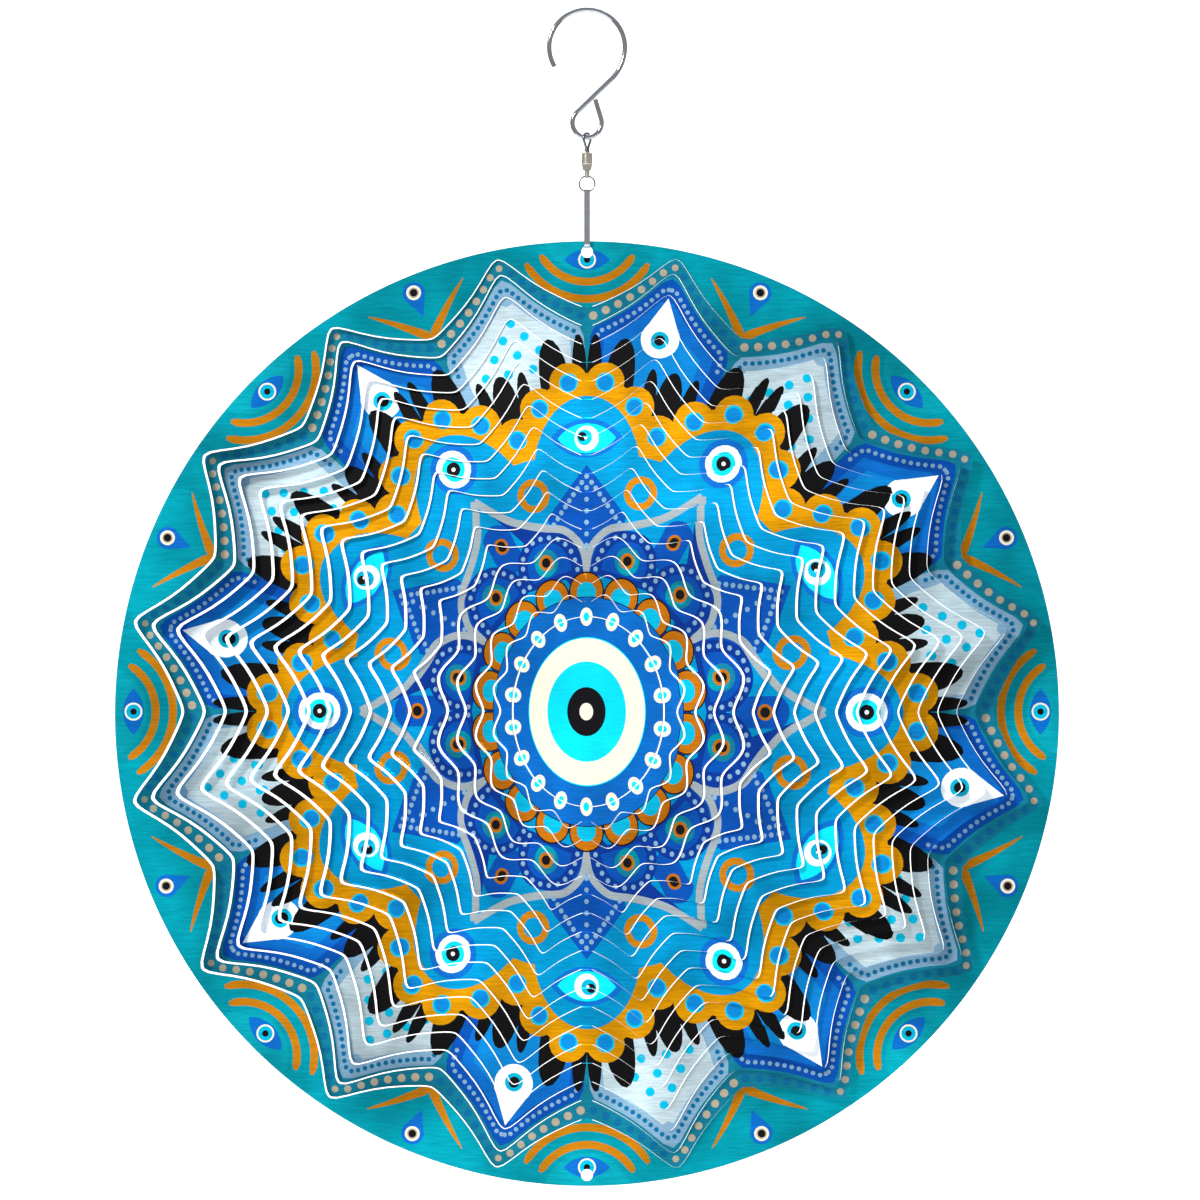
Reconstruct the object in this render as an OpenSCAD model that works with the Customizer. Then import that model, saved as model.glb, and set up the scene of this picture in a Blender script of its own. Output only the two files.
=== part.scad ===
// Hanging wind spinner: a printed steel disc cut into nested star rings, which fan out about
// the vertical axis, on a wire hook, a ball-bearing swivel, a small ring and a spring clip.
// Millimetres. +Z is up, +X is to the viewer's right, and the viewer stands on the -Y side.
// The origin is the point where the hook rests on whatever it hangs from.

/* [Disc] */
// Outer diameter of the disc
disc_d = 304.8; // [240:0.1:380]
// Thickness of the sheet
sheet_t = 0.7; // [0.5:0.1:1]
// Diameter of the two hanging holes
hole_d = 3.8; // [3.2:0.1:6]
// Distance from the disc's edge to a hanging hole's centre
hole_inset = 3.5; // [3:0.1:6]
// Angle of the centre piece to the rim, with the disc fanned out
fan_angle = 38; // [0:1:180]

/* [Cuts] */
// Width of a laser cut
kerf = 0.2; // [0.15:0.05:0.8]
// Width of the tabs that join each ring to the next
tab_w = 3.6; // [2.4:0.1:5]
// Rim width at the star's tips
rim_at_tip = 3.2; // [3:0.1:5]
// Rim width at the star's valleys
rim_at_valley = 21.5; // [18:0.5:26]
// Width of the first ring at its tips
first_ring_at_tip = 5; // [4:0.1:8]
// Width of the first ring at its valleys
first_ring_at_valley = 6.2; // [4.5:0.1:8]
// Radius of the round cut about the centre piece
centre_r = 30.65; // [26:0.05:36]
// Width of the ring next to the centre piece at its tips
last_ring_at_tip = 7.65; // [6:0.05:9]
// Width of the ring next to the centre piece at its valleys
last_ring_at_valley = 4.25; // [3.5:0.05:6]
// Step from one wavy cut to the next at the tips
wave_step_at_tip = 6.3; // [5:0.1:7]
// Step from one wavy cut to the next at the valleys
wave_step_at_valley = 5.9; // [5:0.1:6.5]
// Step from the last wavy cut to the first pointed cut at the tips
first_point_at_tip = 8.2; // [6.5:0.1:9]
// Step from the last wavy cut to the first pointed cut at the valleys
first_point_at_valley = 5.9; // [5:0.1:7]

/* [Hook] */
// Diameter of the hook's wire
hook_wire = 1.55; // [1.2:0.05:2]
// Centreline radius of the open arc
hook_r = 12.3; // [10:0.1:15]
// Centreline radius where the arc opens out towards the shank
hook_side_r = 14.6; // [12.5:0.1:16]
// How far the open end reaches below the arc's centre, in degrees
hook_reach = 30; // [0:1:45]
// Centreline radius of the closed lower loop
loop_r = 4.75; // [4:0.05:6]
// Height from the lower loop's centre to the open arc's centre
hook_drop = 24.7; // [23:0.1:32]

/* [Swivel] */
// Diameter of the eye's wire
eye_wire = 0.8; // [0.6:0.05:1]
// Gap between the eye's legs and the hook's wire
eye_side_play = 0.165; // [0.1:0.005:0.4]
// Gap between the eye's top and the hook's wire
eye_play = 0.155; // [0.1:0.005:0.3]
// Turn of the eye away from straight across the hook's wire
eye_yaw = 40; // [0:1:45]
// Height from the barrel's top to the centre of the eye's bend
eye_len = 4.7; // [4:0.1:7]
// Outer diameter of the barrel
barrel_d = 3.5; // [3.3:0.1:5]
// Length of the barrel's straight part
barrel_len = 3.95; // [3.5:0.05:6]
// Length of the barrel's tapered part
taper_len = 1.8; // [1.4:0.1:3]
// Thickness of the barrel's wall
barrel_wall = 0.45; // [0.3:0.05:0.5]
// Diameter of a bearing ball
ball_d = 0.6; // [0.5:0.05:0.7]
// Number of bearing balls
ball_count = 8; // [4:1:9]
// Diameter of the shaft's neck
neck_d = 1.1; // [0.9:0.05:1.2]
// Diameter of the shaft below the barrel
boss_d = 1.65; // [1.5:0.05:2.4]
// Length of the shaft below the barrel
boss_len = 2.4; // [2.2:0.1:4]

/* [Ring and clip] */
// Diameter of the round ring's wire
link_wire = 0.5; // [0.4:0.05:0.6]
// Outer diameter of the round ring
link_d = 5.6; // [5:0.1:8]
// Width of the clip's strip
clip_w = 1.9; // [1.5:0.05:2.2]
// Thickness of the clip's strip
clip_t = 0.5; // [0.3:0.05:0.6]
// Inner length of the clip
clip_len = 18.6; // [15:0.1:24]
// Inner bend radius of the clip
clip_bend = 1.5; // [1.4:0.05:2.2]

/* [Hidden] */
$fn = 96;
POINTS = 16;              // points of every star
STAR_CUTS = 12;           // pointed cuts inside the rim's own cut
WAVE_CUTS = 4;            // wavy cuts round the middle
CUTS = 2 + STAR_CUTS + WAVE_CUTS;
RINGS = CUTS - 1;         // rings between the rim and the centre piece
FLANK_STEPS = 7;          // outline steps from a valley to a tip
HALF = 180 / POINTS;      // angle from a valley to a tip
fine = 0.05;              // smallest gap between pieces that slide on each other
run = 0.02;               // gap of a pressed or riveted fit
link_play = 0.2;          // gap round the ring's wire in the shaft's bore
bore_floor = 0.3;         // metal under the shaft's bore
clip_play = 0.08;         // gap between the clip and the top of the hanging hole

disc_r = disc_d / 2;
hole_r = hole_d / 2;

// Heights, from the top down
hook_z = -(hook_r - hook_wire / 2);
loop_z = hook_z - hook_drop;
hook_wire_z = loop_z - loop_r;
wires_r = (hook_wire + eye_wire) / 2;
eye_r = fit_eye((wires_r + eye_side_play) / cos(eye_yaw));
eye_z = eye_height(eye_r);
barrel_top = eye_z - eye_len;
taper_top = barrel_top - barrel_len;
barrel_bottom = taper_top - taper_len;
boss_top = barrel_bottom - 2 * fine;
boss_bottom = boss_top - boss_len;
link_bore_r = link_wire / 2 + link_play;
link_bore_z = boss_bottom + link_bore_r + bore_floor;
link_r = (link_d - link_wire) / 2;
link_z = link_bore_z - link_r;
link_in = link_r - link_wire / 2;
clip_top_in = link_z - sqrt(pow(link_in, 2) - pow(clip_w / 2, 2)) + fine;
clip_bottom_in = clip_top_in - clip_len;
hole_sag = hole_r - sqrt(pow(hole_r, 2) - pow(clip_w / 2, 2));
hole_top = clip_bottom_in + hole_sag + clip_play;
disc_z = hole_top + hole_inset - hole_r - disc_r;

// Radii inside the swivel
barrel_r = barrel_d / 2;
bore_r = barrel_r - barrel_wall;
shoulder_z = taper_top - barrel_wall / 4;
ball_z = shoulder_z + ball_d / 2 + run;
ball_ring_r = (neck_d + ball_d) / 2 + fine;
head_h = 0.6;
cap_h = 0.8;

function ring_name(k) = str("ring_", k < 10 ? "0" : "", k);
function mix(a, b, t) = a + (b - a) * t;

// Height of the centre of the eye's bend, for a bend of radius r hung on the hook's loop
function eye_height(r) = hook_wire_z + wires_r + eye_play - r;

// Least gap between that bend, which crosses the loop at a slant, and the loop's own curve
function eye_gap(r) =
    min([for (a = [0 : 4 : 180])
        let (out = r * cos(a), up = eye_height(r) + r * sin(a) - loop_z)
        norm([loop_r - norm([out * sin(eye_yaw), up]), out * cos(eye_yaw)])]) - wires_r;

// Radius of the eye's bend, let out from r until it clears the loop all round
function fit_eye(r) = eye_gap(r) < run ? fit_eye(r + run) : r;

// ---- Cuts: cut 1 is the rim's, cut CUTS is the round one about the centre piece ----

// Tip and valley radius of cut k: wavy cuts step out from the middle, and the pointed cuts
// spread evenly between them and the rim
rim_cut = [disc_r - rim_at_tip, disc_r - rim_at_valley];
outer_star = rim_cut - [first_ring_at_tip, first_ring_at_valley];
inner_wave = [centre_r + last_ring_at_tip, centre_r + last_ring_at_valley];
outer_wave = inner_wave + (WAVE_CUTS - 1) * [wave_step_at_tip, wave_step_at_valley];
inner_star = outer_wave + [first_point_at_tip, first_point_at_valley];
function cut_radii(k) =
    k == 1 ? rim_cut
    : k <= 1 + STAR_CUTS ? mix(outer_star, inner_star, (k - 2) / (STAR_CUTS - 1))
    : k < CUTS ? mix(outer_wave, inner_wave, (k - 2 - STAR_CUTS) / (WAVE_CUTS - 1))
    : [centre_r, centre_r];

// Rounds off the corner that abs() leaves at t = 0, and keeps t = 1 in place
function soften(t, e) = (sqrt(t * t + e * e) - e) / (sqrt(1 + e * e) - e);

// Rise from valley (u = 0) to tip (u = 1): an ogee on the stars, a plain wave near the middle
corner = 0.1;             // share of a flank that is rounded at each end
ogee = 0.38;              // share of the rise that steepens toward the tip
ogee_power = 3.5;         // how late it steepens
wave_point = 0.25;        // how much of a straight flank a wave keeps
function rise(k, u) =
    let (v = soften(1 - soften(1 - u, corner), corner))
    k <= 1 + STAR_CUTS ? mix(v, pow(v, ogee_power), ogee)
    : mix((1 - cos(180 * u)) / 2, v, wave_point);

// Share of the way from a valley to a tip at angle a
function valley_share(a) = abs((a + HALF) % (2 * HALF) - HALF) / HALF;

// Radius of cut k at angle a from the axis, and that point
function cut_r(k, a) = let (r = cut_radii(k)) mix(r[1], r[0], rise(k, valley_share(a)));
function cut_pt(k, a) = cut_r(k, a) * [sin(a), cos(a)];

// A point on the edge of cut k: side 1 is the outer edge, side -1 the inner edge
function edge_pt(k, a, side) =
    let (d = cut_pt(k, a + 0.02) - cut_pt(k, a - 0.02), n = [-d[1], d[0]] / norm(d))
    cut_pt(k, a) + n * side * kerf / 2;

// Angles of an outline's points over the right half, closer together at tips and valleys
function half_angles() =
    [for (i = [0 : POINTS - 1]) for (j = [0 : FLANK_STEPS - 1])
        let (s = (1 - cos(180 * j / FLANK_STEPS)) / 2) i * HALF + s * HALF];

// Height of the tab of cut k: the middle of the cut at the tab's side
function tab_z(k) =
    let (a = asin(tab_w / 2 / cut_r(k, 0))) cut_r(k, a) * cos(a);

// One edge of cut k as a closed outline, with the tabs' flat ends at top and bottom
slot_end = 0.6;           // reach of a cut's square end beside a tab, as a share of the kerf
tab_clear = 0.2;          // outline points nearer to a tab's side than this are left out
function right_edge(k, side) =
    let (w = tab_w / 2, z = tab_z(k), e = z + side * kerf * slot_end)
    concat(
        [[w, z], [w, e]],
        [for (a = half_angles()) let (p = edge_pt(k, a, side)) if (p[0] > w + tab_clear) p],
        [[w, -e], [w, -z]]
    );
function cut_edge(k, side) =
    let (right = right_edge(k, side), n = len(right))
    concat(right, [for (i = [n - 1 : -1 : 0]) [-right[i][0], right[i][1]]]);

// ---- Sheet metal ----

// Stands a flat outline up in the disc's plane, turned about the vertical axis
module stand(turn) {
    translate([0, 0, disc_z])
        rotate([0, 0, turn])
            rotate([90, 0, 0])
                linear_extrude(height = sheet_t, center = true)
                    children();
}

function turn_of(k) = -fan_angle * k / (RINGS + 1);

module rim_plate() {
    color("#19b3c4") stand(0) difference() {
        circle(r = disc_r, $fn = 360);
        polygon(cut_edge(1, 1));
        for (side = [-1, 1])
            translate([0, side * (disc_r - hole_inset)])
                circle(d = hole_d);
    }
}

function ring_colour(k) =
    k < 2 ? "#17808f" : k < 5 ? "#2f7fd6" : k < 7 ? "#1b1b22" : k < 9 ? "#f0a323"
    : k < 12 ? "#18a9e2" : k < 15 ? "#1455c0" : k < 17 ? "#f58a1c" : "#1276da";

module star_ring(k) {
    color(ring_colour(k)) stand(turn_of(k)) difference() {
        polygon(cut_edge(k, -1));
        polygon(cut_edge(k + 1, 1));
    }
}

module centre_disc() {
    color("#f4efe2") stand(turn_of(CUTS - 1))
        polygon(cut_edge(CUTS, -1));
}

// ---- Hook ----

// Points along an arc in the XZ plane about c, a turn of no more than step apart
function arc_pts(c, r, from, to, step) =
    let (n = ceil(abs(to - from) / step))
    [for (i = [0 : n]) on_circle(c, r, from + (to - from) * i / n)];

// Round wire swept along points in the XZ plane, its ends narrowed by the factor tip
module wire(path, d, tip = 0.75, sides = 16) {
    last = len(path) - 1;
    rings = [for (i = [0 : last])
        let (
            v = path[min(i + 1, last)] - path[max(i - 1, 0)],
            n = [v[1], -v[0]] / norm(v),
            r = d / 2 * (i == 0 || i == last ? tip : 1)
        )
        for (j = [0 : sides - 1])
            let (a = 360 * j / sides)
            [path[i][0] + r * cos(a) * n[0], r * sin(a), path[i][1] + r * cos(a) * n[1]]];
    polyhedron(rings, concat(
        [[for (j = [0 : sides - 1]) j]],
        [for (i = [0 : last - 1]) for (j = [0 : sides - 1])
            let (k = (j + 1) % sides)
            [i * sides + j, (i + 1) * sides + j, (i + 1) * sides + k, i * sides + k]],
        [[for (j = [sides - 1 : -1 : 0]) last * sides + j]]
    ));
}

function toward(a) = [cos(a), sin(a)];
function on_circle(c, r, a) = c + r * toward(a);

// The shank crosses from the open arc's right side to the closed loop's left side
arc_c = [0, hook_z];
side_c = [hook_r - hook_side_r, hook_z];
loop_c = [0, loop_z];
shank_v = loop_c - side_c;
shank_dir = atan2(shank_v[1], shank_v[0]) - asin((hook_side_r + loop_r) / norm(shank_v));
shank_from = on_circle(side_c, hook_side_r, shank_dir + 90);
shank_to = on_circle(loop_c, loop_r, shank_dir - 90);

// The loop's tail runs up until its end meets the shank
tail_dir = 107;
tail_turn = tail_dir - shank_dir - 180;
tail_from = on_circle(loop_c, loop_r, tail_dir - 90);
tail_gap = (shank_from - tail_from) * toward(shank_dir + 90) * -1;
tail_len = (tail_gap - hook_wire / 2 * (1 + cos(tail_turn)) - fine) / sin(tail_turn);
tail_to = tail_from + tail_len * toward(tail_dir);

// Both ends are nipped off with a short taper, and each arc stops short of what follows it
nip = 0.3;
arc_step = 8;
ease = 6;
hook_end = on_circle(arc_c, hook_r, 180 + hook_reach);

module hook() {
    color("#c9ccd0") wire(concat(
        [tail_to, tail_to - nip * toward(tail_dir), tail_from],
        arc_pts(loop_c, loop_r, tail_dir + 270 - ease, shank_dir + 270 + ease, arc_step),
        [shank_to, shank_from],
        arc_pts(side_c, hook_side_r, shank_dir + 90 + ease, -ease, arc_step),
        arc_pts(arc_c, hook_r, 0, 180 + hook_reach, arc_step),
        [hook_end + nip * toward(270 + hook_reach)]
    ), hook_wire);
}

// ---- Swivel ----

stem_r = 0.75 * eye_wire;
wrap_wire = 0.55 * eye_wire;
wrap_pitch = 0.9 * wrap_wire;
wrap_turns = 3;
rivet_h = 0.35;
rivet_r = 1.4 * stem_r;
leg_rise = 1.6;           // height over the barrel at which the eye's legs end
leg_end = [eye_wire / 2 + run, barrel_top + leg_rise];
leg_v = leg_end - [0, eye_z];
leg_angle = atan2(leg_v[1], leg_v[0]) + acos(eye_r / norm(leg_v));

module swivel_eye() {
    stem_bottom = barrel_top - cap_h - rivet_h;
    color("#b9bcc0") rotate([0, 0, 90 - eye_yaw]) {
        wire(concat(
            [leg_end],
            arc_pts([0, eye_z], eye_r, leg_angle, 180 - leg_angle, 9),
            [[-leg_end[0], leg_end[1]]]
        ), eye_wire, 1, 12);
        translate([0, 0, stem_bottom])
            cylinder(r = stem_r, h = leg_end[1] + eye_wire / 4 - stem_bottom);
        translate([0, 0, stem_bottom])
            cylinder(r = rivet_r, h = rivet_h - run);
        for (i = [0 : wrap_turns - 1])
            translate([0, 0, leg_end[1] - 0.4 * wrap_wire - i * wrap_pitch])
                rotate_extrude()
                    translate([stem_r, 0])
                        circle(d = wrap_wire, $fn = 24);
    }
}

module swivel_cap() {
    shoulder = [0.85 * bore_r, 0.35 * cap_h];
    crown = 0.45 * cap_h;
    color("#c4b088") translate([0, 0, barrel_top])
        rotate_extrude()
            polygon([
                [stem_r + run, -cap_h], [bore_r - run, -cap_h], [bore_r - run, 0],
                shoulder, [stem_r + run, crown]
            ]);
}

module swivel_barrel() {
    edge = 0.25;
    step = 0.1;
    color("#d3cfc4")
        rotate_extrude()
            polygon([
                [bore_r, barrel_top], [barrel_r - edge, barrel_top],
                [barrel_r, barrel_top - edge], [barrel_r, taper_top + edge],
                [barrel_r - step, taper_top + edge / 2], [barrel_r - step, taper_top],
                [(boss_d + barrel_d) / 4, barrel_bottom], [neck_d / 2 + fine, barrel_bottom],
                [neck_d / 2 + fine, shoulder_z], [bore_r, shoulder_z]
            ]);
}

module swivel_balls() {
    color("#e3e6ea")
        for (i = [1 : ball_count])
            rotate([0, 0, i * 360 / ball_count])
                translate([ball_ring_r, 0, ball_z])
                    sphere(d = ball_d, $fn = 24);
}

module swivel_shaft() {
    head_z = ball_z + ball_d / 2 + run;
    edge = 0.2;
    color("#cfd2d6") difference() {
        rotate_extrude()
            polygon([
                [0, head_z + head_h], [bore_r - 2 * fine, head_z + head_h],
                [bore_r - 2 * fine, head_z], [neck_d / 2, head_z], [neck_d / 2, boss_top],
                [boss_d / 2, boss_top], [boss_d / 2, boss_bottom + edge],
                [boss_d / 2 - edge, boss_bottom], [0, boss_bottom]
            ]);
        translate([0, 0, link_bore_z])
            rotate([0, 90, 0])
                cylinder(r = link_bore_r, h = 2 * boss_d, center = true);
    }
}

// ---- Ring and clip ----

module link_ring() {
    color("#c9ccd0") translate([0, 0, link_z])
        rotate([90, 0, 0])
            rotate_extrude()
                translate([link_r, 0])
                    circle(d = link_wire, $fn = 24);
}

// A half turn of the clip's strip about the X axis, opening down for up = 1
module strip_bend(z, up) {
    translate([0, 0, z])
        rotate([90, 0, 90])
            rotate([0, 0, up > 0 ? 0 : 180])
                rotate_extrude(angle = 180)
                    translate([clip_bend, -clip_w / 2])
                        square([clip_t, clip_w]);
}

// A straight length of the strip: y is its inner face, on the side that side gives
module strip_leg(side, y, from, to) {
    translate([-clip_w / 2, side > 0 ? y : -y - clip_t, from])
        cube([clip_w, clip_t, to - from]);
}

// A strip bent into a long loop: the front leg is whole, and the back leg's lower end laps
// over the upper end on the outside, as a tongue that springs open
module snap_clip() {
    top_c = clip_top_in - clip_bend;
    bottom_c = clip_bottom_in + clip_bend;
    lap_at = 0.45;        // height of the tongue's shoulder, as a share of the straight leg
    lap = 3.2;            // overlap of the tongue past its shoulder
    lap_from = mix(bottom_c, top_c, lap_at);
    lap_y = clip_bend + clip_t + fine;
    color("#bfc3c8") {
        strip_bend(top_c, 1);
        strip_bend(bottom_c, -1);
        strip_leg(-1, clip_bend, bottom_c, top_c);
        strip_leg(1, clip_bend, lap_from + clip_t + fine, top_c);
        strip_leg(1, clip_bend, bottom_c, lap_from);
        strip_leg(1, lap_y, lap_from - clip_t, lap_from + lap);
        translate([-clip_w / 2, clip_bend + clip_t / 2, lap_from - clip_t])
            cube([clip_w, clip_t, clip_t]);
    }
}

hook();
swivel_eye();
swivel_cap();
swivel_barrel();
swivel_balls();
swivel_shaft();
link_ring();
snap_clip();
rim_plate();
for (k = [1 : RINGS])
    star_ring(k);
centre_disc();
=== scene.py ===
"""Looks of a hanging wind spinner: a printed steel disc cut into nested star rings that fan out
about the vertical axis, on a wire hook, a ball-bearing swivel, a small ring and a spring clip.

Metres in the frame of the CAD model: +Z up, +X to the viewer's right, the viewer on the -Y side.
Flat drawings of the sheet are in millimetres about the disc's centre, x to the right and z up.
"""
import logging
import math
from dataclasses import dataclass, field
from enum import Enum
from typing import Any, Callable, Iterable, Iterator

import bpy
from mathutils import Matrix, Vector
from mathutils.geometry import delaunay_2d_cdt


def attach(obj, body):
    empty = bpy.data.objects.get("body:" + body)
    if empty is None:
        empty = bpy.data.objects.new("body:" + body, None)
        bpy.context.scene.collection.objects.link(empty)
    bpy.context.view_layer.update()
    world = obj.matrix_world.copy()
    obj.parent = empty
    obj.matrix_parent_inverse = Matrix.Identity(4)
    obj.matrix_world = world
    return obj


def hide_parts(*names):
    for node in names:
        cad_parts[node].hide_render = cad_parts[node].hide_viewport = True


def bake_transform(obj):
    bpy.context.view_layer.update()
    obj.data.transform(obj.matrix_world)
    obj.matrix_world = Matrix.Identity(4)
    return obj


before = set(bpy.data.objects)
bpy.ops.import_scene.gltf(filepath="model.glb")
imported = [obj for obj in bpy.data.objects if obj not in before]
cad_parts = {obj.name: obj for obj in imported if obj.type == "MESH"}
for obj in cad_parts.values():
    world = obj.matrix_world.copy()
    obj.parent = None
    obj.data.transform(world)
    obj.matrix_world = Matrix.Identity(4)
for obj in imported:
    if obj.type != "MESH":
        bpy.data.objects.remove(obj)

log = logging.getLogger("spinner")
MM = 0.001
Point = tuple[float, float]
Outline = list[Point]


# ---- Small helpers ----

def linear(code: str) -> tuple[float, float, float, float]:
    """Turns an sRGB hex code such as "#1fa2c4" into a linear colour with alpha 1."""
    shares = [int(code[i:i + 2], 16) / 255 for i in (1, 3, 5)]
    return (*[s / 12.92 if s <= 0.04045 else ((s + 0.055) / 1.055) ** 2.4 for s in shares], 1.0)


def mix(a: float, b: float, t: float) -> float:
    """Returns the value a share t of the way from a to b."""
    return a + (b - a) * t


def polar(r: float, a: float) -> Point:
    """Returns the point at radius r, a degrees clockwise from the top."""
    return r * math.sin(math.radians(a)), r * math.cos(math.radians(a))


def heading(path: Outline, i: int) -> Vector:
    """Returns the way a path runs at its point i, from the point before to the one after."""
    return Vector(path[min(i + 1, len(path) - 1)]) - Vector(path[max(i - 1, 0)])


def show(name: str, data: Any) -> bpy.types.Object:
    """Makes an object of a mesh, a lamp or a camera and puts it in the scene."""
    shown = bpy.data.objects.new(name, data)
    bpy.context.scene.collection.objects.link(shown)
    return shown


def new_material(name: str) -> tuple[bpy.types.Material, bpy.types.NodeTree]:
    """Makes a material with an empty tree."""
    material = bpy.data.materials.new(name)
    material.use_nodes = True
    material.node_tree.nodes.clear()
    return material, material.node_tree


def add_node(tree: bpy.types.NodeTree, kind: str, inputs: dict[Any, Any] | None = None,
             **settings: Any) -> bpy.types.Node:
    """Adds a node with its settings and links.

    Args:
        tree: The tree that takes the node.
        kind: The node's type name.
        inputs: Socket name or number to a value, or to the output socket that feeds it.
        settings: Properties of the node itself.

    Returns:
        The new node.
    """
    made = tree.nodes.new(kind)
    for name, value in settings.items():
        setattr(made, name, value)
    for key, value in (inputs or {}).items():
        if isinstance(value, bpy.types.NodeSocket):
            tree.links.new(value, made.inputs[key])
        else:
            made.inputs[key].default_value = value
    return made


# ---- Finishes ----

class Ink(Enum):
    """Inks of the print: hex colour, and how much of the brushed steel shows through it."""
    TEAL = ("#039fb2", 0.9)
    DEEP_TEAL = ("#14809b", 0.8)
    SEA = ("#0b6d9c", 0.7)
    MINT = ("#08a9bb", 0.9)
    TURQUOISE = ("#05b8dd", 0.7)
    BRIGHT_TURQUOISE = ("#06d8ee", 0.45)
    LIGHT_BLUE = ("#0399d2", 0.9)
    SKY = ("#0b84d0", 0.7)
    BLUE = ("#0c6cc6", 0.7)
    MID_BLUE = ("#0850ae", 0.7)
    DARK_BLUE = ("#06338a", 0.5)
    GREY_BLUE = ("#83abc8", 0.7)
    GREY = ("#9aa6ab", 0.6)
    SAND = ("#aca28d", 0.5)
    SILVER = ("#c9dfe8", 0.95)
    CREAM = ("#e4dcc8", 0.15)
    WHITE = ("#f0f7fa", 0.25)
    GOLD = ("#e09a08", 1.0)
    OCHRE = ("#c98012", 0.8)
    ORANGE = ("#c4720f", 0.8)
    BLACK = ("#030305", 0.0)
    PUPIL = ("#0b0a10", 0.0)

    @property
    def colour(self) -> tuple[float, float, float, float]:
        """The ink's linear colour."""
        return linear(self.value[0])

    @property
    def clear(self) -> float:
        """Share of the brushed steel that shows through."""
        return self.value[1]


@dataclass(frozen=True)
class PrintedSheet:
    """Stainless steel sheet, brushed from side to side and then printed with clear inks: the grain
    shows through the inks as fine bright and dark streaks and gives them a metal sheen. Broad soft
    patches of painted sheen and shade make the clearer inks lighter and darker."""
    name: str = "printed brushed stainless sheet"
    streak_mm: float = 0.42      # height of a brush streak, drawn coarser than the real 0.1 mm
    streak_length_mm: float = 6.0
    painted_sheen_mm: float = 26.0     # size of the soft patches of painted sheen and shade on the clearer inks
    contrast: float = 0.2
    painted_sheen_range: tuple[float, float] = (0.62, 1.34)   # darkest and lightest of the painted sheen and shade
    steel_share: float = 0.75    # how metallic the clearest ink is

    def build(self) -> bpy.types.Material:
        """Returns the material."""
        material, tree = new_material(self.name)
        ink = add_node(tree, "ShaderNodeAttribute", attribute_name="ink")
        clear = add_node(tree, "ShaderNodeAttribute", attribute_name="clear").outputs["Fac"]
        sheet = add_node(tree, "ShaderNodeAttribute", attribute_name="sheet").outputs["Vector"]
        stretched = add_node(tree, "ShaderNodeMapping", {
            "Vector": sheet, "Scale": (1 / self.streak_length_mm, 1.0, 1 / self.streak_mm)})
        streaks = add_node(tree, "ShaderNodeTexNoise", {
            "Vector": stretched.outputs[0], "Scale": 1.0, "Detail": 3.0, "Roughness": 0.62})
        # Painted sheen and shade: broad soft noise that lightens and darkens the clearer inks,
        # standing in for the brushed steel's glints
        painted_sheen_patches = add_node(tree, "ShaderNodeTexNoise", {
            "Vector": sheet, "Scale": 1 / self.painted_sheen_mm, "Detail": 2.0})
        grain = add_node(tree, "ShaderNodeMapRange", {
            "Value": streaks.outputs[0], "From Min": 0.3, "From Max": 0.7,
            "To Min": 1 - self.contrast, "To Max": 1 + self.contrast})
        painted_sheen = add_node(tree, "ShaderNodeMapRange", {
            "Value": painted_sheen_patches.outputs[0], "From Min": 0.3, "From Max": 0.7,
            "To Min": self.painted_sheen_range[0], "To Max": self.painted_sheen_range[1]})
        # The grain's streaks times the painted sheen and shade
        shade = add_node(tree, "ShaderNodeMath", {0: grain.outputs[0], 1: painted_sheen.outputs[0]},
                         operation="MULTIPLY")
        share = add_node(tree, "ShaderNodeMix", {
            "Factor": clear, 2: 1.0, 3: shade.outputs[0]}, data_type="FLOAT")
        colour = add_node(tree, "ShaderNodeVectorMath", {
            0: ink.outputs["Color"], 1: share.outputs[0]}, operation="MULTIPLY")
        rough = add_node(tree, "ShaderNodeMapRange", {
            "Value": clear, "From Min": 0.0, "From Max": 1.0, "To Min": 0.42, "To Max": 0.3})
        metal = add_node(tree, "ShaderNodeMath", {0: clear, 1: self.steel_share},
                         operation="MULTIPLY")
        height = add_node(tree, "ShaderNodeMath", {0: streaks.outputs[0], 1: clear},
                          operation="MULTIPLY")
        bump = add_node(tree, "ShaderNodeBump", {
            "Strength": 0.35, "Distance": 0.00008, "Height": height.outputs[0]})
        skin = add_node(tree, "ShaderNodeBsdfPrincipled", {
            "Base Color": colour.outputs[0], "Metallic": metal.outputs[0],
            "Roughness": rough.outputs[0], "Normal": bump.outputs[0],
            "Specular IOR Level": 0.09})
        add_node(tree, "ShaderNodeOutputMaterial", {"Surface": skin.outputs[0]})
        return material


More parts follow.
